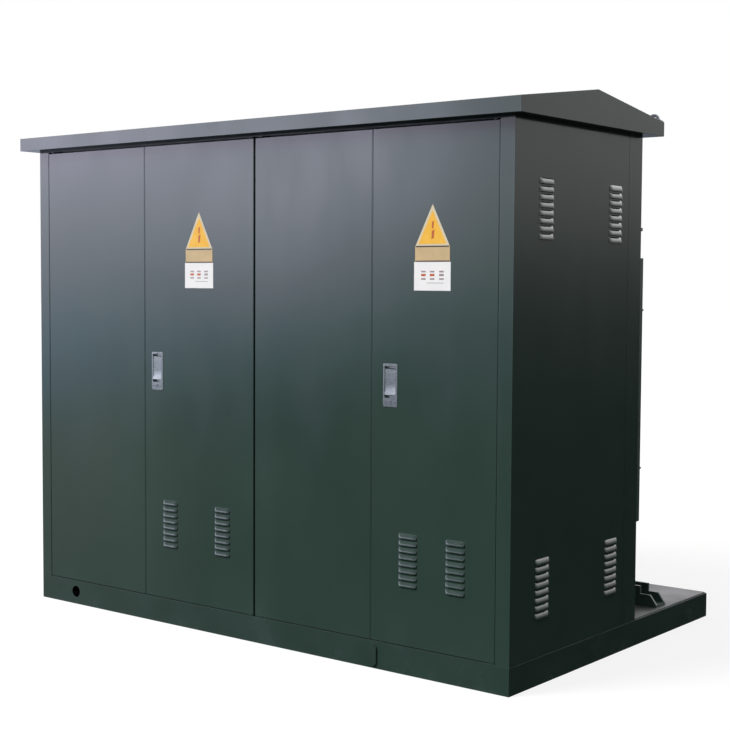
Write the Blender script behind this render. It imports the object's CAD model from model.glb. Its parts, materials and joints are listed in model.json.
import json
import math

import bmesh
import bpy
from mathutils import Matrix, Vector


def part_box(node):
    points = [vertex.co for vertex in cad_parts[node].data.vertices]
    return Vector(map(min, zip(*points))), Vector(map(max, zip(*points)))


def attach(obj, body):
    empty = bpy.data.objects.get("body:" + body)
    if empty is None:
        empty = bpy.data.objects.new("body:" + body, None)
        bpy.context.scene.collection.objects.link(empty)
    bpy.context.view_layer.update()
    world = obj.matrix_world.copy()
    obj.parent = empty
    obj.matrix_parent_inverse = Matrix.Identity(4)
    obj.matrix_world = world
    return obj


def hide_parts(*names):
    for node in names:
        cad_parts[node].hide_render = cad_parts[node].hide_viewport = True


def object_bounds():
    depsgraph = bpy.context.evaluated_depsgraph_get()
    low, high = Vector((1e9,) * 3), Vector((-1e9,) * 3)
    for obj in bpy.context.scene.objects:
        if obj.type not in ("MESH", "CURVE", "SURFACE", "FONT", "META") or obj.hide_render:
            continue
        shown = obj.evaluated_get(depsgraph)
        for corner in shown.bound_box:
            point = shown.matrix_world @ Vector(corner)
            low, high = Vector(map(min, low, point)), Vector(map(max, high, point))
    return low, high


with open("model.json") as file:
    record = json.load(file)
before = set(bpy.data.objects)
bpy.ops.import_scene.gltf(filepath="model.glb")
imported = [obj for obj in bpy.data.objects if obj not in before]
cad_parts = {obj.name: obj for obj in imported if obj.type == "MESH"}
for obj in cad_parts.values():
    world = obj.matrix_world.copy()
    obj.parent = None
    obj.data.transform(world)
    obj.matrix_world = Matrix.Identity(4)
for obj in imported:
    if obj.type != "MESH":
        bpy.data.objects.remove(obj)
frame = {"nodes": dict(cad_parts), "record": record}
cad_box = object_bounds()
nodes = frame["nodes"]


# ---- Materials ----
class Nodes:
    """Helpers that add and link the nodes of one shader tree."""

    def __init__(self, tree):
        self.tree = tree

    def node(self, kind, inputs=None, **settings):
        made = self.tree.nodes.new(kind)
        for key, value in settings.items():
            setattr(made, key, value)
        for key, value in (inputs or {}).items():
            self.feed(made.inputs[key], value)
        return made

    def feed(self, socket, value):
        if isinstance(value, bpy.types.NodeSocket):
            self.tree.links.new(value, socket)
        else:
            socket.default_value = value

    def spread(self, value, low, high, to_low=0.0, to_high=1.0, **settings):
        inputs = {"Value": value, "From Min": low, "From Max": high, "To Min": to_low, "To Max": to_high}
        return self.node("ShaderNodeMapRange", inputs, **settings).outputs["Result"]

    def math(self, operation, first, second=0.0):
        return self.node("ShaderNodeMath", {0: first, 1: second}, operation=operation).outputs[0]

    def mix(self, share, first, second):
        return self.node("ShaderNodeMix", {0: share, 6: first, 7: second}, data_type="RGBA").outputs[2]


class Finish(Nodes):
    """A node material round one Principled shader, with helpers for its textures."""

    def __init__(self, name, **values):
        self.material = bpy.data.materials.new(name)
        self.material.use_nodes = True
        super().__init__(self.material.node_tree)
        self.shader = self.tree.nodes["Principled BSDF"]
        self.place = self.node("ShaderNodeTexCoord").outputs["Object"]
        for key, value in values.items():
            self.set(key.replace("_", " "), value)

    def set(self, name, value):
        self.feed(self.shader.inputs[name], value)

    def noise(self, scale, detail=3.0, stretch=None, roughness=0.55):
        """Noise with the given cells per metre, squeezed along the axes by stretch."""
        place = self.place
        if stretch:
            place = self.node("ShaderNodeMapping", {"Vector": place, "Scale": stretch}).outputs[0]
        inputs = {"Vector": place, "Scale": scale, "Detail": detail, "Roughness": roughness}
        return self.node("ShaderNodeTexNoise", inputs).outputs["Fac"]

    def cells(self, scale):
        inputs = {"Vector": self.place, "Scale": scale}
        return self.node("ShaderNodeTexVoronoi", inputs).outputs["Distance"]

    def edges(self, radius):
        """Rounds the shading over edges and returns a mask that is 1 along them."""
        bevel = self.node("ShaderNodeBevel", {"Radius": radius}, samples=4)
        flat = self.node("ShaderNodeNewGeometry").outputs["Normal"]
        turn = self.node("ShaderNodeVectorMath", {0: bevel.outputs[0], 1: flat}, operation="DOT_PRODUCT")
        self.rounded = bevel.outputs[0]
        return self.spread(turn.outputs["Value"], 0.99, 0.85)

    def bump(self, height, distance, under=None):
        inputs = {"Height": height, "Distance": distance}
        if under is not None:
            inputs["Normal"] = under
        return self.node("ShaderNodeBump", inputs).outputs[0]

    def height(self):
        """Height above the ground, in metres."""
        return self.node("ShaderNodeSeparateXYZ", {"Vector": self.place}).outputs["Z"]


def rgb(red, green, blue):
    return (red, green, blue, 1.0)


def sheet_paint(name, colour, shade, worn, gloss, waviness=0.0004, peel=0.00003):
    """Sprayed enamel on sheet steel: soft clouding, orange peel, waves in the sheet and worn edges."""
    paint = Finish(name, IOR=1.5)
    clouds = paint.spread(paint.noise(2.3, 4), 0.3, 0.7)
    body = paint.mix(clouds, colour, shade)
    low = paint.spread(paint.height(), 0.3, 0.0)
    dust = paint.math("MULTIPLY", low, paint.spread(paint.noise(6, 6), 0.3, 0.8))
    body = paint.mix(paint.math("MULTIPLY", dust, 0.12), body, worn)
    edge = paint.edges(0.0012)
    chipped = paint.math("MULTIPLY", edge, paint.spread(paint.noise(40, 4), 0.4, 0.65, 0.08, 0.5))
    body = paint.mix(chipped, body, worn)
    paint.set("Base Color", body)
    smears = paint.spread(paint.noise(5, 6, (1, 1, 0.35)), 0.35, 0.7, gloss, gloss + 0.09)
    paint.set("Roughness", paint.math("ADD", smears, paint.math("MULTIPLY", dust, 0.2)))
    waves = paint.bump(paint.noise(1.9, 1.5), waviness, paint.rounded)
    paint.set("Normal", paint.bump(paint.noise(420, 2), peel, waves))
    return paint.material


def brushed_metal(name, colour, shade, gloss, grain=(1, 1, 14), spangle=0.0):
    """Bare metal with a fine brushed grain, or the crystal pattern of hot zinc."""
    metal = Finish(name, Metallic=1.0)
    tone = metal.spread(metal.noise(60, 3, grain), 0.3, 0.7)
    if spangle:
        tone = metal.math("ADD", tone, metal.math("MULTIPLY", metal.cells(spangle), 0.6))
    metal.set("Base Color", metal.mix(tone, colour, shade))
    metal.edges(0.0008)
    metal.set("Roughness", metal.spread(metal.noise(35, 4, grain), 0.3, 0.7, gloss, gloss + 0.14))
    metal.set("Normal", metal.bump(metal.noise(500, 2, grain), 0.00002, metal.rounded))
    return metal.material


def moulded(name, colour, shade, gloss, grain=300, depth=0.00003):
    """Cast resin, plastic or rubber with a slightly uneven skin."""
    plastic = Finish(name, IOR=1.48)
    plastic.set("Base Color", plastic.mix(plastic.spread(plastic.noise(14, 4), 0.3, 0.7), colour, shade))
    plastic.edges(0.0008)
    plastic.set("Roughness", plastic.spread(plastic.noise(30, 4), 0.3, 0.7, gloss, gloss + 0.12))
    plastic.set("Normal", plastic.bump(plastic.noise(grain, 3), depth, plastic.rounded))
    return plastic.material


def printed(name, colour, shade, gloss=0.3):
    """An enamelled or printed sign face, a little faded and dirty."""
    face = Finish(name, IOR=1.5)
    faded = face.spread(face.noise(22, 5), 0.3, 0.75)
    face.set("Base Color", face.mix(faded, colour, shade))
    face.set("Roughness", face.spread(face.noise(60, 3), 0.3, 0.7, gloss, gloss + 0.15))
    face.set("Normal", face.bump(face.noise(250, 2), 0.00002))
    return face.material


green = rgb(0.0235, 0.046, 0.038)
green_shade = rgb(0.0285, 0.053, 0.0435)
green_worn = rgb(0.07, 0.105, 0.09)
finishes = {
    "green_paint": sheet_paint("green_enamel", green, green_shade, green_worn, 0.10),
    "base_paint": sheet_paint("base_enamel", rgb(0.021, 0.041, 0.034), green, green_worn, 0.14,
                              0.0001, 0.00005),
    "tank_paint": sheet_paint("tank_enamel", rgb(0.022, 0.043, 0.036), green_shade, green_worn, 0.34,
                              0.0003, 0.00005),
    "zinc_steel": brushed_metal("hot_zinc", rgb(0.3, 0.315, 0.32), rgb(0.2, 0.21, 0.22), 0.36, (1, 1, 1), 90),
    "satin_steel": brushed_metal("satin_steel", rgb(0.245, 0.275, 0.255), rgb(0.2, 0.225, 0.21), 0.24),
    "sign_face": printed("sign_yellow", rgb(0.82, 0.43, 0.03), rgb(0.88, 0.52, 0.07)),
    "seal_rubber": moulded("seal_rubber", rgb(0.012, 0.012, 0.012), rgb(0.02, 0.02, 0.021), 0.6, 600,
                           0.00006),
    "core_steel": moulded("core_steel", rgb(0.09, 0.095, 0.1), rgb(0.06, 0.06, 0.065), 0.5),
    "winding": brushed_metal("winding", rgb(0.55, 0.3, 0.12), rgb(0.4, 0.2, 0.08), 0.35, (1, 1, 40)),
    "bushing_resin": moulded("bushing_resin", rgb(0.1, 0.022, 0.012), rgb(0.075, 0.016, 0.01), 0.14),
    "tinned_copper": brushed_metal("tinned_copper", rgb(0.72, 0.5, 0.34), rgb(0.62, 0.55, 0.48), 0.26),
    "fitting_plastic": moulded("fitting_plastic", rgb(0.02, 0.02, 0.022), rgb(0.03, 0.03, 0.032), 0.3),
    "handle_red": moulded("handle_red", rgb(0.42, 0.02, 0.012), rgb(0.36, 0.016, 0.012), 0.22),
    "valve_brass": brushed_metal("valve_brass", rgb(0.7, 0.48, 0.2), rgb(0.6, 0.4, 0.16), 0.24),
}
sign_cream = printed("sign_cream", rgb(0.62, 0.55, 0.38), rgb(0.7, 0.62, 0.46))
sign_tan = printed("sign_tan", rgb(0.5, 0.38, 0.2), rgb(0.6, 0.44, 0.24))
sign_white = printed("sign_white", rgb(0.86, 0.86, 0.87), rgb(0.8, 0.8, 0.82))
sign_red = printed("sign_red", rgb(0.45, 0.08, 0.02), rgb(0.55, 0.14, 0.03))
sign_grey = printed("sign_grey", rgb(0.3, 0.24, 0.25), rgb(0.42, 0.36, 0.36))
deck_enamel = sheet_paint("deck_enamel", rgb(0.03, 0.036, 0.035), rgb(0.045, 0.05, 0.048), green_worn, 0.42)
fitting_grey = moulded("fitting_grey", rgb(0.16, 0.165, 0.17), rgb(0.2, 0.205, 0.21), 0.34)
sign_dark = printed("sign_dark", rgb(0.05, 0.035, 0.02), rgb(0.08, 0.06, 0.03))


def dress_frame():
    """Give every CAD node the finish of its slot."""
    for row in frame["record"]["subparts"]:
        node = nodes[row["node"]]
        finish = finishes[row["material_slot"]]
        for place in node.material_slots:
            place.material = deck_enamel if row["node"] == "rear_deck" else finish


# ---- Mesh helpers ----
def slab(bm, low, high):
    """A closed box between two corners."""
    corners = [(x, y, z) for x in (low[0], high[0]) for y in (low[1], high[1]) for z in (low[2], high[2])]
    made = [bm.verts.new(corner) for corner in corners]
    for face in ((0, 1, 3, 2), (4, 6, 7, 5), (0, 4, 5, 1), (2, 3, 7, 6), (0, 2, 6, 4), (1, 5, 7, 3)):
        bm.faces.new([made[index] for index in face])


def plate(bm, outline, low, high):
    """A plate in the XZ plane, between the planes y = low and y = high."""
    front = [bm.verts.new((x, low, z)) for x, z in outline]
    back = [bm.verts.new((x, high, z)) for x, z in outline]
    bm.faces.new(front)
    bm.faces.new(list(reversed(back)))
    for index in range(len(outline)):
        after = (index + 1) % len(outline)
        bm.faces.new((front[after], front[index], back[index], back[after]))


def lathe(bm, profile, matrix, segments=32):
    """Turn a profile of (radius, along) about the matrix's Z axis, with its ends closed."""
    rings = []
    for radius, along in profile:
        ring = []
        for step in range(segments):
            angle = math.tau * step / segments
            spot = Vector((radius * math.cos(angle), radius * math.sin(angle), along))
            ring.append(bm.verts.new(matrix @ spot))
        rings.append(ring)
    for lower, upper in zip(rings, rings[1:]):
        for step in range(segments):
            after = (step + 1) % segments
            bm.faces.new((lower[step], lower[after], upper[after], upper[step]))
    bm.faces.new(list(reversed(rings[0])))
    bm.faces.new(rings[-1])


def piece(name, bm, body, slot, finish=None, bevel=0.0, solid=0.0, replaced=()):
    """Turn a bmesh into a finished piece that rides on a CAD body."""
    bmesh.ops.recalc_face_normals(bm, faces=bm.faces)
    for face in bm.faces:
        face.smooth = True
    draft = bpy.data.meshes.new(name + "_draft")
    bm.to_mesh(draft)
    bm.free()
    made = bpy.data.objects.new(name, draft)
    bpy.context.scene.collection.objects.link(made)
    if bevel:
        rounding = made.modifiers.new("rounding", "BEVEL")
        rounding.width = bevel
        rounding.segments = 3
        rounding.limit_method = "ANGLE"
        rounding.angle_limit = math.radians(40)
    if solid:
        thickness = made.modifiers.new("thickness", "SOLIDIFY")
        thickness.thickness = solid
        thickness.offset = -1
        thickness.use_even_offset = True
    settle(made)
    made.data.materials.append(finish or finishes[slot])
    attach(made, body)
    if replaced:
        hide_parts(*replaced)
    return made


def settle(made):
    """Apply the modifiers, keep only true corners sharp and let the flat faces shade flat."""
    apply_modifiers(made)
    made.data.set_sharp_from_angle(angle=math.radians(38))
    flat = made.modifiers.new("flat_faces", "WEIGHTED_NORMAL")
    flat.weight = 100
    flat.keep_sharp = True
    apply_modifiers(made)
    made.data.name = made.name


def apply_modifiers(made):
    view = bpy.context.evaluated_depsgraph_get()
    final = bpy.data.meshes.new_from_object(made.evaluated_get(view))
    made.modifiers.clear()
    made.data = final


def shifted(place, u, v, out=0.0):
    return place @ Matrix.Translation((u, v, out))


# ---- Louvred panels ----
slat_count = 8
hood_wall = 0.0015
hood_reach = 0.009
sheet_wall = 0.003
slot_margin = 0.004
door_louvres = {"width": 0.082, "pitch": 0.025, "across": {"b": (0.14775, 0.44275), "d": (0.16875, 0.37575)},
                "up": 0.420}
side_louvres = {"width": 0.092, "pitch": 0.0275, "across": (0.208, 0.704), "up": (0.345, 1.678)}


def hood(bm, place, width, rise, reach):
    """One pressed louvre hood, open at its foot, on the panel frame given by place."""
    columns, rows = 18, 7
    half = width / 2
    round_end = reach * 1.5
    grid = []
    for row in range(rows + 1):
        up = rise * row / rows
        swell = math.cos(math.pi / 2 * row / rows) ** 0.75
        line = []
        for column in range(columns + 1):
            across = half * math.sin(math.pi / 2 * (2 * column / columns - 1))
            inset = max(0.0, abs(across) - (half - round_end)) / round_end
            out = reach * swell * math.sqrt(max(0.0, 1 - inset ** 2))
            line.append(bm.verts.new(place @ Vector((across, up, out - hood_wall / 2))))
        grid.append(line)
    for lower, upper in zip(grid, grid[1:]):
        for column in range(columns):
            bm.faces.new((lower[column], lower[column + 1], upper[column + 1], upper[column]))


def pierced(bm, place, size, holes, depth=0.0):
    """A sheet with rectangular holes in its own plane, and edges folded back by depth."""
    across = sorted({0.0, size[0]} | {hole[0] for hole in holes} | {hole[1] for hole in holes})
    upward = sorted({0.0, size[1]} | {hole[2] for hole in holes} | {hole[3] for hole in holes})
    corners = {(u, v): bm.verts.new(place @ Vector((u, v, 0))) for u in across for v in upward}
    for left, right in zip(across, across[1:]):
        for low, high in zip(upward, upward[1:]):
            u, v = (left + right) / 2, (low + high) / 2
            if any(hole[0] < u < hole[1] and hole[2] < v < hole[3] for hole in holes):
                continue
            bm.faces.new([corners[key] for key in ((left, low), (right, low), (right, high), (left, high))])
    if depth:
        rim = [(u, 0.0) for u in across] + [(size[0], v) for v in upward[1:]]
        rim += [(u, size[1]) for u in reversed(across[:-1])] + [(0.0, v) for v in reversed(upward[1:-1])]
        folded = [bm.verts.new(place @ Vector((u, v, -depth))) for u, v in rim]
        for index in range(len(rim)):
            after = (index + 1) % len(rim)
            bm.faces.new((corners[rim[after]], corners[rim[index]], folded[index], folded[after]))
    loose = [vert for vert in bm.verts if not vert.link_faces]
    bmesh.ops.delete(bm, geom=loose, context="VERTS")


def slat_feet(columns, pitch, rise):
    """The middle of each hood's foot, column by column."""
    for u, v in columns:
        for index in range(slat_count):
            yield u, v + (index - (slat_count - 1) / 2) * pitch - rise / 2


def louvred(name, node, body, place, size, columns, width, pitch, depth=0.0, holes=()):
    """Replace a CAD panel with a folded sheet and its rounded hoods."""
    rise = pitch * 0.78
    feet = list(slat_feet(columns, pitch, rise))
    half = width / 2 - slot_margin
    slots = [(u - half, u + half, foot, foot + rise * 0.8) for u, foot in feet]
    sheet = bmesh.new()
    pierced(sheet, place, size, slots + list(holes), depth)
    bevel = 0.003 if depth else 0.0
    piece(name + "_sheet", sheet, body, "green_paint", bevel=bevel, solid=sheet_wall, replaced=[node])
    hoods = bmesh.new()
    for u, foot in feet:
        hood(hoods, shifted(place, u, foot), width, rise, hood_reach)
    piece(name + "_louvres", hoods, body, "green_paint", solid=hood_wall)


def facing(origin, out):
    """A frame on a vertical wall: X runs along it to the right, Y up, Z outwards."""
    out = Vector(out)
    up = Vector((0, 0, 1))
    along = up.cross(out)
    turned = Matrix((along, up, out)).transposed().to_4x4()
    return Matrix.Translation(origin) @ turned


def facing_doors(x, y, z):
    """A frame on a wall that looks towards the doors' side."""
    return facing((x, y, z), (0, -1, 0))


def louvred_panels():
    front_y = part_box("door_a")[0].y
    fold, lock_rim = 0.025, 0.004
    for side in ("b", "d"):
        door = "door_" + side
        low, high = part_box(door)
        lock_low, lock_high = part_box("lock_case_" + side)
        place = facing_doors(low.x, front_y, low.z)
        columns = [(u, door_louvres["up"] - low.z) for u in door_louvres["across"][side]]
        cut = (lock_low.x - low.x + lock_rim, lock_high.x - low.x - lock_rim,
               lock_low.z - low.z + lock_rim, lock_high.z - low.z - lock_rim)
        size = (high.x - low.x, high.z - low.z)
        louvred(door, door, door, place, size, columns, door_louvres["width"], door_louvres["pitch"], fold,
                [cut])
    for name, out in (("right", 1), ("left", -1)):
        low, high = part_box("side_panel_" + name)
        wall_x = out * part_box("rear_posts")[1].x
        start = low.y if out > 0 else high.y
        place = facing((wall_x, start, low.z), (out, 0, 0))
        depth = high.y - low.y
        spots = [u if out > 0 else depth - u for u in side_louvres["across"]]
        columns = [(u, z - low.z) for u in spots for z in side_louvres["up"]]
        louvred("side_" + name, "side_panel_" + name, "enclosure", place, (depth, high.z - low.z), columns,
                side_louvres["width"], side_louvres["pitch"])


def seam_lips():
    """The folded lips that close most of each seam: at the outer hinges, the meeting edges and the foot."""
    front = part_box("door_a")[0].y
    frame_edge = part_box("front_posts")[1].x
    leaves = {side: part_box("door_" + side) for side in "abcd"}
    foot, head = leaves["a"][0].z, leaves["a"][1].z
    hinge_gap, lip_width = 0.004, 0.0027
    fixed = bmesh.new()
    for edge, towards in ((leaves["a"][0].x - hinge_gap, 1), (leaves["d"][1].x + hinge_gap, -1)):
        far = edge + towards * lip_width
        slab(fixed, (min(edge, far), front + 0.0004, foot),
             (max(edge, far), front + 0.0013, head + hinge_gap))
    slab(fixed, (-frame_edge, front + 0.0006, foot - 0.0049), (frame_edge, front + 0.002, foot - 0.0013))
    piece("fixed_lips", fixed, "enclosure", "green_paint")
    for side, after in (("a", "b"), ("c", "d")):
        low, high = leaves[side]
        lip = bmesh.new()
        slab(lip, (high.x - 0.0005, front + 0.0007, low.z + 0.003),
             (leaves[after][0].x - 0.0004, front + 0.0016, high.z - 0.003))
        piece(f"meeting_lip_{side}", lip, "door_" + side, "green_paint")


# ---- Signs ----
def trim_sign(side):
    """A triangular plate, a plain band and a label plate, with plain marks and no words."""
    node = "sign_" + side
    body = "door_" + side
    low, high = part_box(node)
    middle = (low.x + high.x) / 2
    wall = high.y
    band_foot, band_top = low.z + 0.102, low.z + 0.157
    sheet, ink = 0.0006, 0.00015
    film = 0.0002

    def part(name, outline, rise, depth, finish, replaced=()):
        bm = bmesh.new()
        plate(bm, outline, wall - rise - depth, wall - rise)
        piece(f"{node}_{name}", bm, body, "sign_face", finish, bevel=0.0002, replaced=replaced)

    def rectangle(x, z, width, height):
        left, right = x - width / 2, x + width / 2
        return [(left, z), (right, z), (right, z + height), (left, z + height)]

    def triangle(foot, top, base):
        return [(middle - base / 2, foot), (middle + base / 2, foot), (middle, top)]

    part("label", rectangle(middle, low.z, high.x - low.x, 0.101), 0, sheet, sign_white, [node])
    part("band", rectangle(middle, band_foot, 0.150, band_top - band_foot), 0, sheet, sign_tan)
    part("border", triangle(band_top + 0.001, high.z, 0.147), 0, sheet, sign_cream)
    part("field", triangle(band_top + 0.007, high.z - 0.022, 0.122), sheet, film, finishes["sign_face"])
    part("band_foot_line", rectangle(middle, band_foot, 0.146, 0.004), sheet, film, sign_dark)
    part("band_top_line", rectangle(middle, band_top - 0.004, 0.142, 0.004), sheet, film, sign_dark)
    mark_z = band_top + 0.024
    leaning = [(-0.004, 0), (0.006, 0.004), (0.009, 0.034), (-0.003, 0.028)]
    for index, rise in enumerate((0.0, 0.036)):
        narrow, short = 1 - index * 0.25, 1 - index * 0.15
        outline = [(middle + x * narrow, mark_z + rise + z * short) for x, z in leaning]
        part(f"mark_{index}", outline, 0.0008, film, sign_red)
    for index, x in enumerate((-0.038, 0.0, 0.040)):
        for row, height in enumerate((0.006, 0.008, 0.006)):
            z = low.z + 0.038 + row * 0.013
            finish = sign_red if (index, row) in ((0, 1), (1, 1)) else sign_grey
            part(f"dash_{index}_{row}", rectangle(middle + x, z, 0.02, height), sheet, ink, finish)
    part("rule", rectangle(middle + 0.014, low.z + 0.026, 0.07, 0.002), sheet, ink, sign_grey)


# ---- Rounded and turned shapes ----
def rounded_loop(left, right, low, high, radius, steps=5):
    """Points round a rectangle with rounded corners, always the same number of them."""
    centres = [(right - radius, high - radius), (left + radius, high - radius),
               (left + radius, low + radius), (right - radius, low + radius)]
    points = []
    for corner, (u, v) in enumerate(centres):
        for step in range(steps + 1):
            angle = math.pi / 2 * (corner + step / steps)
            points.append((u + radius * math.cos(angle), v + radius * math.sin(angle)))
    return points


def skin(bm, place, rings):
    """Join rings of (points, out) into one closed body with a flat face at each end."""
    loops = [[bm.verts.new(place @ Vector((u, v, out))) for u, v in points] for points, out in rings]
    count = len(loops[0])
    for lower, upper in zip(loops, loops[1:]):
        for index in range(count):
            after = (index + 1) % count
            bm.faces.new((lower[index], lower[after], upper[after], upper[index]))
    bm.faces.new(list(reversed(loops[0])))
    bm.faces.new(loops[-1])


def ring(bm, place, radius, wire, segments=32, sides=12):
    """A closed round wire ring about the Z axis of place."""
    loops = []
    for step in range(segments):
        turn = math.tau * step / segments
        loop = []
        for side in range(sides):
            angle = math.tau * side / sides
            reach = radius + wire * math.cos(angle)
            spot = Vector((reach * math.cos(turn), reach * math.sin(turn), wire * math.sin(angle)))
            loop.append(bm.verts.new(place @ spot))
        loops.append(loop)
    for index, loop in enumerate(loops):
        following = loops[(index + 1) % segments]
        for side in range(sides):
            after = (side + 1) % sides
            bm.faces.new((loop[side], following[side], following[after], loop[after]))


def hexagon(bm, place, across, low, high):
    """A bolt head or nut with chamfered corners."""
    radius = across / 2
    drop = (high - low) * 0.18
    lathe(bm, [(radius, low), (radius, high - drop), (radius * 0.86, high)], place, 6)


def islands(name):
    """The boxes of a CAD node's separate solids, from left to right."""
    node = nodes[name]
    spots = [node.matrix_world @ vert.co for vert in node.data.vertices]
    keys = [tuple(round(value, 5) for value in spot) for spot in spots]
    parent = {key: key for key in keys}

    def top(key):
        while parent[key] != key:
            parent[key] = parent[parent[key]]
            key = parent[key]
        return key

    for edge in node.data.edges:
        first, second = (top(keys[index]) for index in edge.vertices)
        parent[first] = second
    groups = {}
    for key in parent:
        groups.setdefault(top(key), []).append(key)
    boxes = []
    for spots in groups.values():
        low = Vector([min(values) for values in zip(*spots)])
        high = Vector([max(values) for values in zip(*spots)])
        boxes.append((low, high))
    return sorted(boxes, key=lambda box: tuple(box[0]))


def bolt_circle(bm, place, count, radius, across, foot, head, start=math.pi / 4):
    """Bolt heads evenly round the Z axis of place."""
    for index in range(count):
        angle = start + math.tau * index / count
        hexagon(bm, shifted(place, radius * math.cos(angle), radius * math.sin(angle)), across, foot, head)


def upright_ring(place, out):
    """The frame of a ring that stands out from a fitting, on edge."""
    return shifted(place, 0, 0, out) @ Matrix.Rotation(math.pi / 2, 4, "Y")


def on_wall(low, high):
    """A frame on the tank's front wall at the middle of a fitting, with Z out towards the doors."""
    return facing_doors((low.x + high.x) / 2, high.y, (low.z + high.z) / 2)


# ---- Locks ----
bezel_proud = 0.0015


def lock_body(side):
    """The pressed bezel and its recess, the case behind it, the key barrel and the screws."""
    low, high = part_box("lock_case_" + side)
    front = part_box("door_a")[0].y
    body = "door_" + side
    width, height = high.x - low.x, high.z - low.z
    middle = height / 2
    place = facing_doors(low.x, front, low.z)
    proud = bezel_proud
    border, recess_foot, recess_top, recess = 0.007, middle - 0.046, middle + 0.068, -0.0124
    key_v = -0.062

    def edge(inset, radius):
        return rounded_loop(inset, width - inset, inset, height - inset, radius)

    def hole(inset):
        left = border + inset
        return rounded_loop(left, width - left, recess_foot + inset, recess_top - inset, 0.003)

    bm = bmesh.new()
    skin(bm, place, [
        (edge(0.0042, 0.002), front - high.y), (edge(0.0042, 0.002), 0.0), (edge(0.0, 0.005), 0.0),
        (edge(0.0, 0.005), proud * 0.5), (edge(0.0004, 0.005), proud * 0.87), (edge(0.001, 0.005), proud),
        (hole(-0.0008), proud), (hole(-0.0002), proud * 0.85), (hole(0.0), proud * 0.4), (hole(0.0), recess),
    ])
    piece(f"lock_{side}_bezel", bm, body, "satin_steel", replaced=["lock_case_" + side])
    face = shifted(place, width / 2, middle, proud)
    bm = bmesh.new()
    barrel = [(0.0078, -0.001), (0.0078, 0.0006), (0.0072, 0.0011), (0.0056, 0.0011), (0.0052, 0.0004)]
    lathe(bm, barrel, shifted(face, 0, key_v))
    piece(f"lock_{side}_barrel", bm, body, "zinc_steel")
    bm = bmesh.new()
    keyway = rounded_loop(-0.0009, 0.0009, -0.0036, 0.0036, 0.0006)
    skin(bm, shifted(face, 0, key_v), [(keyway, 0.0), (keyway, 0.00055)])
    piece(f"lock_{side}_keyway", bm, body, "seal_rubber")
    bm = bmesh.new()
    screw = [(0.0032, -0.001), (0.0032, 0.0003), (0.0026, 0.0008), (0.0012, 0.001), (0.0011, 0.0004)]
    for u, v in ((0, 0.0735), (-0.021, key_v), (0.021, key_v)):
        lathe(bm, screw, shifted(face, u, v), 20)
    piece(f"lock_{side}_screws", bm, body, "zinc_steel")


def lock_handle(side):
    """The lift flap: a dished plate with raised side rails and a flared lip at its foot."""
    low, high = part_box("lock_lever_" + side)
    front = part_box("lock_case_" + side)[0].y + bezel_proud
    body = "lever_" + side
    middle = (low.x + high.x) / 2
    width = high.x - low.x
    half = width / 2
    place = facing_doors(middle, front, low.z)
    top = high.z - low.z
    lip = 0.0125
    outs = [(0.0, -0.0006), (0.0002, 0.0002), (0.0008, 0.0007)]
    for step in range(1, 9):
        share = step / 8
        outs.append((lip * share, -0.0004 + 0.0012 * (1 - share)))
    outs += [(lip + (top - 0.006 - lip) * step / 6, -0.0004) for step in range(1, 7)]
    outs += [(top - 0.0035, -0.0008), (top - 0.0015, -0.0018), (top - 0.0004, -0.0036)]
    across = [(-1.0, -0.0006), (-0.985, 0.0), (-0.93, 0.0), (-0.89, -0.0011), (-0.4, -0.0013),
              (0.4, -0.0013), (0.89, -0.0011), (0.93, 0.0), (0.985, 0.0), (1.0, -0.0006)]
    bm = bmesh.new()
    grid = []
    for v, out in outs:
        flare = 1.0 if v > lip else 0.0
        grid.append([bm.verts.new(place @ Vector((half * u, v, out + dip * flare))) for u, dip in across])
    for lower, upper in zip(grid, grid[1:]):
        for column in range(len(across) - 1):
            bm.faces.new((lower[column], lower[column + 1], upper[column + 1], upper[column]))
    piece(f"lock_{side}_flap", bm, body, "satin_steel", solid=0.0022, replaced=["lock_lever_" + side])
    joints = frame["record"]["behaviour"]["joints"]
    axis = Vector(next(row for row in joints if row["name"] == f"lever_{side}_lift")["pos_m"])
    turned = Matrix.Translation((low.x, axis.y, axis.z)) @ Matrix.Rotation(math.pi / 2, 4, "Y")
    bm = bmesh.new()
    lathe(bm, [(0.0038, 0.0), (0.0043, 0.0008), (0.0043, width - 0.0008), (0.0038, width)], turned, 24)
    web = half * 0.8
    slab(bm, (middle - web, front + 0.0015, axis.z - 0.004), (middle + web, axis.y, axis.z + 0.003))
    piece(f"lock_{side}_knuckle", bm, body, "satin_steel")


# ---- Fittings inside the cabinet ----
def high_voltage_bushings():
    shell = bmesh.new()
    bolts = bmesh.new()
    for low, high in islands("hv_bushings"):
        place = on_wall(low, high)
        reach = high.y - low.y
        profile = [(0.060, 0.0), (0.060, 0.006), (0.058, 0.008), (0.045, 0.009), (0.0415, 0.013)]
        for index in range(5):
            along = 0.016 + index * 0.021
            wide = 0.0415 - index * 0.0027
            profile += [(wide - 0.007, along), (wide - 0.007, along + 0.007), (wide - 0.001, along + 0.011),
                        (wide, along + 0.014), (wide - 0.001, along + 0.0165)]
        profile += [(0.0275, 0.124), (0.026, 0.128), (0.015, 0.129), (0.015, reach - 0.002), (0.013, reach)]
        lathe(shell, profile, place, 40)
        bolt_circle(bolts, place, 4, 0.0515, 0.012, 0.007, 0.0125)
    piece("hv_bushing_sheds", shell, "enclosure", "bushing_resin", replaced=["hv_bushings"])
    piece("hv_bushing_bolts", bolts, "enclosure", "zinc_steel")


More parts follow.
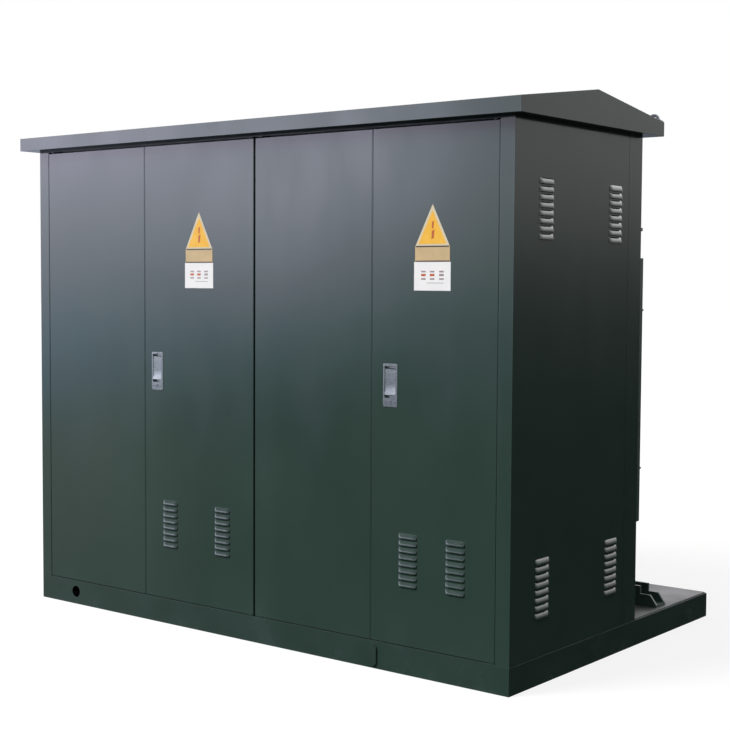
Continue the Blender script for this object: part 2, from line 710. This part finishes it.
def low_voltage_bushings():
    shell = bmesh.new()
    nuts = bmesh.new()
    for low, high in islands("lv_bushings"):
        place = on_wall(low, high)
        reach = high.y - low.y
        profile = [(0.0468, 0.0), (0.0468, 0.006), (0.045, 0.008), (0.037, 0.009)]
        for index in range(3):
            along = 0.013 + index * 0.013
            profile += [(0.030, along), (0.030, along + 0.003), (0.035, along + 0.006),
                        (0.036, along + 0.009)]
        profile += [(0.034, 0.053), (0.030, reach - 0.002), (0.028, reach)]
        lathe(shell, profile, place, 40)
        hexagon(nuts, place, 0.044, reach, reach + 0.0095)
        bolt_circle(nuts, place, 4, 0.0415, 0.009, 0.007, 0.012)
    piece("lv_bushing_sheds", shell, "enclosure", "bushing_resin", replaced=["lv_bushings"])
    piece("lv_bushing_nuts", nuts, "enclosure", "tinned_copper")


def fuse_and_drive_fittings():
    """The fuse wells with their caps and eyes, and the hubs behind the switch and the tap knob."""
    wells, caps, hubs, bolts = (bmesh.new() for _ in range(4))
    well = [(0.032, 0), (0.032, 0.01), (0.029, 0.013), (0.029, 0.044), (0.0305, 0.046), (0.0305, 0.05)]
    for low, high in islands("hv_fittings"):
        width = high.x - low.x
        place = on_wall(low, high)
        reach = high.y - low.y
        if width < 0.07:
            lathe(wells, well, place)
            grip = [(0.0255, 0.05), (0.0255, 0.054)]
            for index in range(6):
                along = 0.056 + index * 0.0036
                grip += [(0.0238, along), (0.0238, along + 0.0014), (0.0255, along + 0.002),
                         (0.0255, along + 0.003)]
            grip += [(0.0245, 0.081), (0.019, 0.0845), (0.006, 0.085)]
            lathe(caps, grip, place)
            ring(caps, upright_ring(place, reach - 0.018), 0.014, 0.0038)
        elif width > 0.1:
            lathe(hubs, [(0.055, 0), (0.055, 0.01), (0.053, 0.012), (0.044, 0.013), (0.040, 0.036),
                         (0.036, 0.040), (0.012, 0.0402), (0.012, reach - 0.001), (0.011, reach)], place, 40)
            bolt_circle(bolts, place, 6, 0.0485, 0.0085, 0.011, 0.0165, 0.0)
        else:
            lathe(hubs, [(0.040, 0), (0.040, 0.007), (0.038, 0.009), (0.030, 0.010), (0.027, 0.018),
                         (0.025, 0.020), (0.009, 0.0202), (0.009, reach - 0.001), (0.008, reach)], place, 40)
            bolt_circle(bolts, place, 4, 0.0345, 0.008, 0.008, 0.013)
    piece("fuse_wells", wells, "enclosure", "fitting_plastic", replaced=["hv_fittings"])
    piece("fuse_caps", caps, "enclosure", "fitting_plastic", fitting_grey)
    piece("drive_hubs", hubs, "enclosure", "fitting_plastic")
    piece("drive_bolts", bolts, "enclosure", "zinc_steel")


def switch_arm():
    """A tapered arm with a turned boss and a waisted grip."""
    low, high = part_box("switch_handle")
    middle = (low.x + high.x) / 2
    boss_z = high.z - 0.024
    grip_z = low.z + 0.018
    front = low.y + 0.030
    outline = []
    for start, radius, centre_z in ((0.0, 0.023, boss_z), (math.pi, 0.015, grip_z)):
        for step in range(13):
            angle = start + math.pi * step / 12
            outline.append((middle + radius * math.cos(angle), centre_z + radius * math.sin(angle)))
    bm = bmesh.new()
    plate(bm, outline, front + 0.001, front + 0.0115)
    piece("switch_arm_plate", bm, "switch_arm", "handle_red", bevel=0.002, replaced=["switch_handle"])
    place = facing_doors(middle, high.y, boss_z)
    bm = bmesh.new()
    lathe(bm, [(0.0225, 0.0), (0.0235, 0.001), (0.0235, 0.011), (0.02, 0.014), (0.018, 0.0225),
               (0.0165, 0.024)], place)
    lathe(bm, [(0.0165, 0.0), (0.0175, 0.001), (0.0175, 0.012), (0.0135, 0.016), (0.0135, 0.026),
               (0.0165, 0.032), (0.0178, 0.036), (0.0165, 0.040), (0.012, 0.042)],
          facing_doors(middle, front + 0.012, grip_z))
    piece("switch_arm_grip", bm, "switch_arm", "handle_red")
    bm = bmesh.new()
    hexagon(bm, place, 0.019, 0.0235, 0.029)
    piece("switch_arm_nut", bm, "switch_arm", "zinc_steel")


def tap_selector():
    """A fluted knob with a pointer."""
    low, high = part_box("tap_knob")
    middle = (low.x + high.x) / 2
    centre_z = (low.z + high.z) / 2
    place = facing_doors(middle, high.y, centre_z)
    bm = bmesh.new()
    rings = []
    for radius, out in ((0.0245, 0.0), (0.0258, 0.001), (0.0258, 0.016), (0.0235, 0.0205), (0.018, 0.022)):
        points = []
        for step in range(96):
            angle = math.tau * step / 96
            flute = 1 - 0.05 * max(0.0, math.cos(12 * angle)) ** 2
            points.append((radius * flute * math.cos(angle), radius * flute * math.sin(angle)))
        rings.append((points, out))
    skin(bm, place, rings)
    piece("tap_selector_knob", bm, "tap_selector", "fitting_plastic", replaced=["tap_knob"])
    bm = bmesh.new()
    pointer = ((-0.007, -0.020), (0.007, -0.020), (0.006, 0.026), (0.0, 0.034), (-0.006, 0.026))
    plate(bm, [(middle + x, centre_z + z) for x, z in pointer], low.y + 0.0005, high.y - 0.018)
    piece("tap_selector_pointer", bm, "tap_selector", "fitting_plastic", fitting_grey, bevel=0.001)


def dials_and_relief_valve():
    """Three round gauges with plain scales, and the spring relief valve with its pull ring."""
    cans, faces, marks, needles, valve = (bmesh.new() for _ in range(5))
    for number, (low, high) in enumerate(islands("gauges")):
        place = on_wall(low, high)
        reach = high.y - low.y
        if high.x - low.x < 0.06:
            lathe(valve, [(0.026, 0), (0.026, 0.012), (0.023, 0.015), (0.023, 0.018), (0.0255, 0.020),
                          (0.0255, 0.042), (0.020, 0.047), (0.010, 0.0545), (0.006, 0.055)], place)
            ring(valve, upright_ring(place, reach - 0.015), 0.012, 0.0028)
            continue
        lathe(cans, [(0.0405, 0.0), (0.0405, 0.033), (0.0445, 0.035), (0.0448, 0.045), (0.0435, 0.0478),
                     (0.041, 0.048), (0.039, 0.0465), (0.0388, 0.0445)], place, 48)
        lathe(faces, [(0.0386, 0.0443), (0.0386, 0.0449)], place, 48)
        for step in range(11):
            angle = math.radians(225 - 27 * step)
            turned = shifted(place, 0, 0, 0.0447) @ Matrix.Rotation(angle, 4, "Z")
            length = 0.007 if step % 5 == 0 else 0.0045
            corners = rounded_loop(0.0355 - length, 0.0355, -0.0006, 0.0006, 0.0003, 2)
            skin(marks, turned, [(corners, 0.0), (corners, 0.0005)])
        angle = math.radians((150, 96, 60)[number % 3])
        turned = shifted(place, 0, 0, 0.0453) @ Matrix.Rotation(angle, 4, "Z")
        hand = [(-0.009, -0.0013), (0.0, -0.0013), (0.029, -0.0003), (0.029, 0.0003), (0.0, 0.0013),
                (-0.009, 0.0013)]
        skin(needles, turned, [(hand, 0.0), (hand, 0.0005)])
        lathe(needles, [(0.0032, 0.0446), (0.0032, 0.0462), (0.002, 0.0468)], place, 20)
    piece("gauge_cans", cans, "enclosure", "fitting_plastic", replaced=["gauges"])
    piece("gauge_faces", faces, "enclosure", "fitting_plastic", sign_white)
    piece("gauge_marks", marks, "enclosure", "fitting_plastic")
    piece("gauge_needles", needles, "enclosure", "fitting_plastic", finishes["handle_red"])
    piece("relief_valve", valve, "enclosure", "fitting_plastic", finishes["valve_brass"])


# ---- Tank ----
def bolts_of_the_cover():
    """Hexagon bolts with washers and nuts round the tank's rim."""
    head = 0.008
    bm = bmesh.new()
    for low, high in islands("cover_bolts"):
        place = Matrix.Translation(((low.x + high.x) / 2, (low.y + high.y) / 2, low.z))
        reach = high.z - low.z
        seat = reach - head
        hexagon(bm, shifted(place, 0, 0, seat), 0.0185, 0.0015, head)
        lathe(bm, [(0.0098, seat), (0.0098, seat + 0.0012), (0.0092, seat + 0.0016)], place, 24)
        lathe(bm, [(0.005, 0.0), (0.006, 0.001), (0.006, seat)], place, 16)
        lathe(bm, [(0.0079, 0.0008), (0.0092, 0.002), (0.0092, head)], place, 6)
    piece("cover_hex_bolts", bm, "enclosure", "zinc_steel", replaced=["cover_bolts"])


def fin_bank():
    """Pressed fins with rounded edges on a back sheet, held by two round tie bars."""
    low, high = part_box("tank_fins")
    count, thickness, back_sheet, rod = 40, 0.008, 0.006, 0.004
    length = high.x - low.x
    pitch_x = (length - thickness) / (count - 1)
    bm = bmesh.new()
    for index in range(count):
        x = low.x + pitch_x * index
        slab(bm, (x, low.y + 0.004, low.z), (x + thickness, high.y - 2 * rod, high.z))
    piece("tank_fin_bank", bm, "enclosure", "tank_paint", bevel=0.0034, replaced=["tank_fins"])
    bm = bmesh.new()
    slab(bm, low, (high.x, low.y + back_sheet, high.z))
    for share in (0.2, 0.8):
        z = low.z + (high.z - low.z) * share + rod
        place = Matrix.Translation((low.x, high.y - rod, z)) @ Matrix.Rotation(math.pi / 2, 4, "Y")
        lathe(bm, [(0.0034, 0.0), (rod, 0.0006), (rod, length - 0.0006), (0.0034, length)], place, 16)
    piece("tank_fin_sheet", bm, "enclosure", "tank_paint")


# ---- Stage ----
eye = Vector((3.854, -4.8715, 1.4275))
yaw, pitch, roll = (math.radians(angle) for angle in (-38.3016, -3.3850, 0.3066))
lens = 70.908


def set_up_camera():
    forward = Vector((math.sin(yaw) * math.cos(pitch), math.cos(yaw) * math.cos(pitch), math.sin(pitch)))
    level = Vector((math.cos(yaw), -math.sin(yaw), 0))
    above = level.cross(forward)
    right = level * math.cos(roll) + above * math.sin(roll)
    up = above * math.cos(roll) - level * math.sin(roll)
    data = bpy.data.cameras.new("camera")
    data.lens = lens
    data.sensor_width = 36
    camera = bpy.data.objects.new("camera", data)
    turned = Matrix((right, up, -forward)).transposed().to_4x4()
    camera.matrix_world = Matrix.Translation(eye) @ turned
    bpy.context.scene.collection.objects.link(camera)
    bpy.context.scene.camera = camera


def set_up_floor():
    """A wide pale floor that takes a faint shadow and isn't mirrored in the paint."""
    bm = bmesh.new()
    reach = 60.0
    slab(bm, (-reach, -reach, -0.02), (reach, reach, -0.0005))
    mesh = bpy.data.meshes.new("floor")
    bm.to_mesh(mesh)
    bm.free()
    floor = bpy.data.objects.new("floor", mesh)
    bpy.context.scene.collection.objects.link(floor)
    pale = Finish("pale_floor", Roughness=0.9)
    pale.set("Specular IOR Level", 0.0)
    pale.set("Base Color", pale.mix(pale.noise(3), rgb(0.2, 0.2, 0.2), rgb(0.22, 0.22, 0.22)))
    pale.set("Emission Color", rgb(1, 1, 1))
    high = cad_box[1]
    spot = pale.node("ShaderNodeSeparateXYZ", {"Vector": pale.place})
    across = pale.spread(pale.math("ABSOLUTE", spot.outputs["X"]), high.x - 0.075, high.x - 0.1)
    along = pale.spread(pale.math("ABSOLUTE", spot.outputs["Y"]), high.y - 0.075, high.y - 0.1)
    covered = pale.math("MULTIPLY", across, along)
    pale.set("Emission Strength", pale.spread(covered, 0.0, 1.0, 0.82, 0.0))
    mesh.materials.append(pale.material)
    floor.visible_glossy = False
    floor.visible_diffuse = False


def set_up_sky():
    """A pale studio: white to the camera, with a soft bright sky above a dark ground in reflections."""
    world = bpy.data.worlds.new("studio")
    bpy.context.scene.world = world
    world.use_nodes = True
    world.cycles.sampling_method = "NONE"
    world.node_tree.nodes.clear()
    sky = Nodes(world.node_tree)

    direction = sky.node("ShaderNodeTexCoord").outputs["Generated"]
    towards = sky.node("ShaderNodeSeparateXYZ", {0: direction}).outputs
    upright = sky.node("ShaderNodeMapping", {"Vector": direction, "Scale": (1.0, 1.0, 0.3)}).outputs[0]
    ripple = sky.node("ShaderNodeTexNoise", {"Vector": upright, "Scale": 9.0, "Detail": 5}).outputs["Fac"]
    sway = sky.math("MULTIPLY", sky.math("SUBTRACT", ripple, 0.5), 0.09)
    height = sky.math("ADD", towards["Z"], sway)

    floor_z, span = -0.25, 1.25
    peak = 10.0

    def gradient(stops):
        """Sky brightness by the sine of the elevation."""
        share = sky.math("DIVIDE", sky.math("SUBTRACT", height, floor_z), span)
        ramp = sky.node("ShaderNodeValToRGB", {"Fac": share})
        elements = ramp.color_ramp.elements
        while len(elements) > 1:
            elements.remove(elements[-1])
        for index, (z, level, tint) in enumerate(stops):
            spot = (z - floor_z) / span
            element = elements[0] if index == 0 else elements.new(spot)
            element.position = spot
            element.color = tuple(level / peak * part for part in tint) + (1.0,)
        return ramp.outputs["Color"]

    violet, blue, teal, plain = (1.04, 1.0, 1.26), (0.8, 1.0, 1.4), (0.85, 1.0, 1.0), (1.0, 0.98, 0.99)
    above = [(0.041, 3.2, violet), (0.075, 4.5, violet), (0.1, 4.8, violet), (0.16, 2.6, violet),
             (0.25, 1.0, violet), (0.45, 0.5, violet), (1.0, 0.5, violet)]
    near_right = gradient([
        (-0.25, 0.02, teal), (-0.14, 0.05, teal), (-0.104, 0.09, teal), (-0.083, 0.19, blue),
        (-0.056, 0.54, blue), (-0.028, 1.1, blue), (0.0, 1.85, violet), (0.02, 2.45, violet),
    ] + above)
    near_left = gradient([
        (-0.25, 0.2, plain), (-0.14, 0.5, plain), (-0.104, 0.6, plain), (-0.083, 0.88, blue),
        (-0.042, 1.55, blue), (0.0, 2.2, violet),
    ] + above)
    far = gradient([
        (-0.25, 0.01, plain), (-0.1, 0.03, plain), (-0.028, 0.1, plain), (0.014, 0.27, plain),
        (0.056, 0.6, plain), (0.098, 0.8, plain), (0.17, 0.9, plain), (0.3, 2.4, plain), (0.5, 3.4, plain),
        (0.7, 2.0, plain), (1.0, 1.2, plain),
    ])

    def eased(value, low, high, *ends):
        return sky.spread(value, low, high, *ends, interpolation_type="SMOOTHSTEP")

    left = sky.math("MULTIPLY", towards["X"], -1.0)
    front = sky.math("MULTIPLY", towards["Y"], -1.0)
    leftward = sky.math("ARCTAN2", left, front)
    near = sky.mix(eased(leftward, math.radians(42.5), math.radians(49)), near_right, near_left)
    dimming = eased(leftward, math.radians(33.6), math.radians(37.6), 0.42, 1.0)
    dimmed = sky.node("ShaderNodeVectorMath", {0: near, "Scale": dimming}, operation="SCALE").outputs[0]
    front_left = sky.math("ADD", sky.math("MULTIPLY", left, 0.62), sky.math("MULTIPLY", front, 0.785))
    both = sky.mix(eased(front_left, -0.8, 0.8), far, dimmed)
    mirrored = sky.node("ShaderNodeBackground", {"Color": both, "Strength": peak}).outputs[0]
    dome = sky.spread(towards["Z"], -0.1, 0.1, 0.03, 0.54)
    soft = sky.node("ShaderNodeBackground", {"Color": dome}).outputs[0]
    white = sky.node("ShaderNodeBackground", {"Color": rgb(1, 1, 1)}).outputs[0]
    rays = sky.node("ShaderNodeLightPath").outputs
    hidden = sky.node("ShaderNodeMixShader", {0: rays["Is Diffuse Ray"], 1: mirrored, 2: soft}).outputs[0]
    shown = sky.node("ShaderNodeMixShader", {0: rays["Is Camera Ray"], 1: hidden, 2: white}).outputs[0]
    sky.node("ShaderNodeOutputWorld", {"Surface": shown})


def set_up_light():
    """One large soft light from high on the front left."""
    data = bpy.data.lights.new("key", "SUN")
    data.energy = 3.3
    data.angle = math.radians(30)
    data.color = (1.0, 0.99, 0.97)
    key = bpy.data.objects.new("key", data)
    towards = Vector((-0.5, -0.75, 0.62))
    key.rotation_mode = "QUATERNION"
    key.rotation_quaternion = towards.to_track_quat("Z", "Y")
    key.visible_glossy = False
    bpy.context.scene.collection.objects.link(key)


dress_frame()
louvred_panels()
seam_lips()
for leaf in ("b", "d"):
    trim_sign(leaf)
    lock_body(leaf)
    lock_handle(leaf)
high_voltage_bushings()
low_voltage_bushings()
fuse_and_drive_fittings()
switch_arm()
tap_selector()
dials_and_relief_valve()
bolts_of_the_cover()
fin_bank()
set_up_camera()
set_up_floor()
set_up_sky()
set_up_light()
bpy.context.scene.view_settings.view_transform = "Standard"
